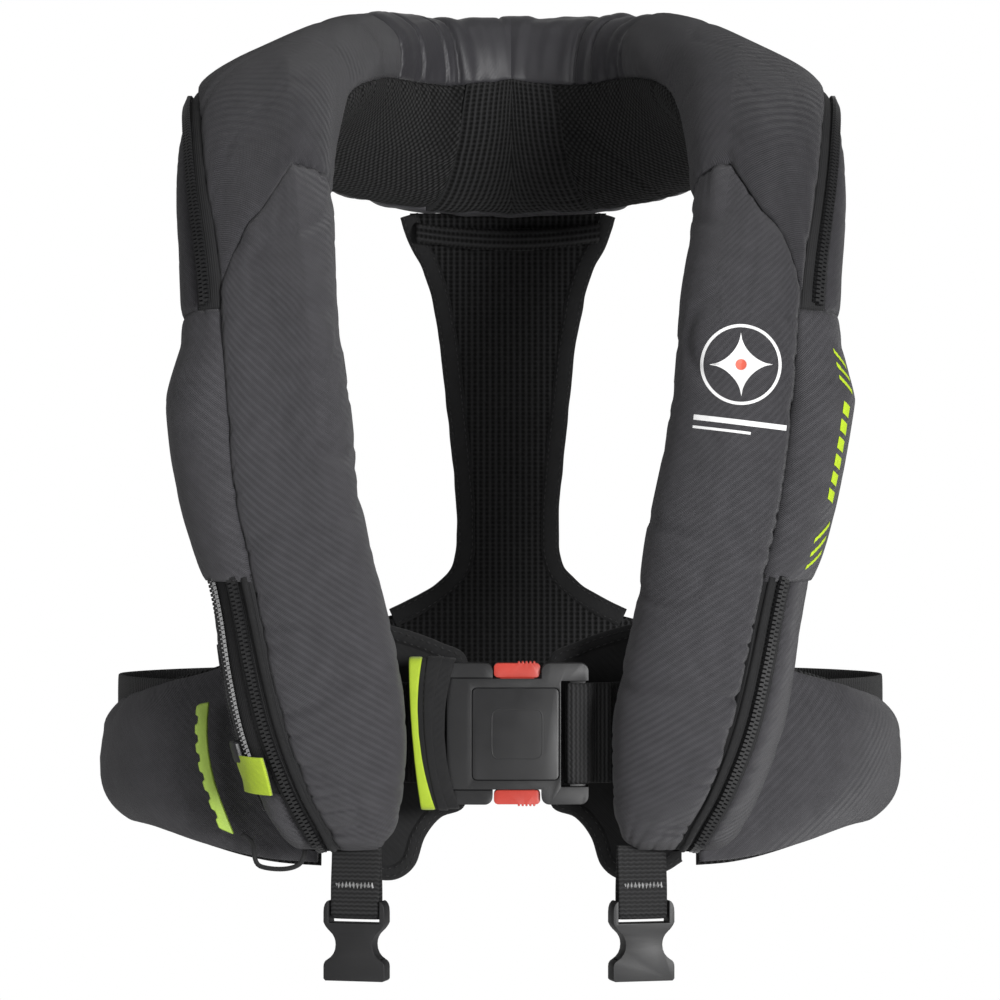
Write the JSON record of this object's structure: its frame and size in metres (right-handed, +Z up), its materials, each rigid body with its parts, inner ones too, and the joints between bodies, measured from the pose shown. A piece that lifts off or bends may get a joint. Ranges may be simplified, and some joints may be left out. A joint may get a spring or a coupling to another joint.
{
  "type": "inflatable life jacket",
  "caption": "Packed inflatable life jacket: padded chest lobes joined by a collar, back panel, hip wings and a belt with a push-button buckle, crotch-strap sockets and a pull handle.",
  "frame": {"origin": "middle of the neck opening, level with the seam between the collar and the back panel", "axes": "+X towards the wearer's left, +Y towards the wearer's back, +Z up; the buckle faces -Y"},
  "size_m": [0.4232, 0.3106, 0.5019],
  "materials": {
    "cover_fabric": "coated woven fabric, matte",
    "satin_fabric": "shiny gathered satin",
    "mesh_fabric": "ribbed spacer mesh",
    "binding_fabric": "knitted binding and lining fabric",
    "zip_tape": "moulded zip teeth on woven tape",
    "webbing": "woven polyester webbing",
    "black_plastic": "fine-grained acetal",
    "red_plastic": "satin",
    "lime_fabric": "woven tab",
    "lime_rubber": "soft, satin",
    "bladder_film": "coated nylon film, folded",
    "steel": "satin",
    "white_plastic": "smooth",
    "orange_plastic": "smooth"
  },
  "bodies": {
    "back": {"collar_cover_middle": "satin_fabric", "collar_lining_middle": "mesh_fabric", "chamber_middle": "bladder_film", "back_panel": "mesh_fabric", "waist_pad": "cover_fabric", "waist_belt": "webbing", "waist_lining": "mesh_fabric"},
    "left_half": {"left_front_cover": "cover_fabric", "left_shoulder_cover": "cover_fabric", "left_collar_lining": "mesh_fabric", "left_backing": "binding_fabric", "left_upper_zip": "zip_tape", "left_upper_side_cover": "cover_fabric", "left_side_panel": "cover_fabric", "left_lower_zip": "zip_tape", "left_chamber": "bladder_film", "left_lower_side_cover": "cover_fabric", "left_hip_wing": "cover_fabric", "left_hip_lining": "mesh_fabric", "left_harness_flap": "binding_fabric", "left_belt": "webbing", "buckle_socket": "black_plastic", "buckle_face_plate": "black_plastic", "oral_tube": "black_plastic", "oral_tube_cap": "orange_plastic", "whistle": "orange_plastic"},
    "right_half": {"right_front_cover": "cover_fabric", "right_shoulder_cover": "cover_fabric", "right_collar_lining": "mesh_fabric", "right_backing": "binding_fabric", "right_upper_zip": "zip_tape", "right_upper_side_cover": "cover_fabric", "right_side_panel": "cover_fabric", "right_lower_zip": "zip_tape", "right_chamber": "bladder_film", "right_lower_side_cover": "cover_fabric", "right_hip_wing": "cover_fabric", "right_hip_lining": "mesh_fabric", "right_harness_flap": "binding_fabric", "right_belt": "webbing", "access_zip": "zip_tape", "buckle_plug": "black_plastic", "belt_keeper": "binding_fabric", "upper_button_spring": "steel", "lower_button_spring": "steel", "gas_cylinder": "steel", "inflator_body": "black_plastic", "inflator_cap": "white_plastic", "lever_pin": "steel"},
    "upper_button": {"upper_release_button": "red_plastic"},
    "lower_button": {"lower_release_button": "red_plastic"},
    "lever": {"firing_lever": "white_plastic"},
    "handle": {"pull_handle": "lime_rubber", "pull_cord": "binding_fabric"},
    "slider": {"zip_slider": "black_plastic"},
    "slider_tab": {"zip_pull": "lime_fabric"},
    "left_tab": {"left_crotch_tab": "webbing"},
    "right_tab": {"right_crotch_tab": "webbing"},
    "left_socket": {"left_crotch_socket": "black_plastic"},
    "right_socket": {"right_crotch_socket": "black_plastic"}
  },
  "joints": [
    {"name": "left_half_opening", "type": "hinge", "parent": "back", "child": "left_half", "pos_m": [0.064, 0.125, 0], "axis": [0, 0, 1], "range_deg": [0, 35]},
    {"name": "right_half_opening", "type": "hinge", "parent": "back", "child": "right_half", "pos_m": [-0.064, 0.125, 0], "axis": [0, 0, 1], "range_deg": [-35, 0]},
    {"name": "upper_button_press", "type": "slide", "parent": "right_half", "child": "upper_button", "axis": [0, 0, -1], "range_m": [0, 0.004], "stiffness_N_per_m": 600, "springref_m": -0.002, "deforming": ["upper_button_spring"]},
    {"name": "lower_button_press", "type": "slide", "parent": "right_half", "child": "lower_button", "axis": [0, 0, 1], "range_m": [0, 0.004], "stiffness_N_per_m": 600, "springref_m": -0.002, "deforming": ["lower_button_spring"]},
    {"name": "handle_pull", "type": "slide", "parent": "right_half", "child": "handle", "axis": [-0.3495, -0.5493, -0.759], "range_m": [0, 0.04], "deforming": ["pull_cord"]},
    {"name": "lever_fire", "type": "hinge", "parent": "right_half", "child": "lever", "pos_m": [-0.11008, -0.14327, -0.27345], "axis": [0, 1, 0], "range_deg": [0, 28]},
    {"name": "zip_slide", "type": "slide", "parent": "right_half", "child": "slider", "axis": [-0.2513, -0.1018, 0.9625], "range_m": [0, 0.03]},
    {"name": "zip_tab_swing", "type": "hinge", "parent": "slider", "child": "slider_tab", "pos_m": [-0.13263, -0.169, -0.2891], "axis": [-0.4099, 0.9121, -0.0106], "range_deg": [0, 55]},
    {"name": "left_tab_swing", "type": "hinge", "parent": "left_half", "child": "left_tab", "pos_m": [0.066, -0.148, -0.339], "axis": [1, 0, 0], "range_deg": [-35, 45]},
    {"name": "left_socket_swing", "type": "hinge", "parent": "left_tab", "child": "left_socket", "pos_m": [0.066, -0.148, -0.364], "axis": [0.9659, 0.2588, 0], "range_deg": [-35, 30]},
    {"name": "right_tab_swing", "type": "hinge", "parent": "right_half", "child": "right_tab", "pos_m": [-0.075, -0.148, -0.339], "axis": [1, 0, 0], "range_deg": [-35, 45]},
    {"name": "right_socket_swing", "type": "hinge", "parent": "right_tab", "child": "right_socket", "pos_m": [-0.075, -0.148, -0.364], "axis": [0.9659, -0.2588, 0], "range_deg": [-35, 30]}
  ],
  "couplings": [
    {"joint": "right_half_opening", "follows": "left_half_opening", "ratio": -1},
    {"joint": "lever_fire", "follows": "handle_pull", "rad_per_m": 12.2}
  ]
}
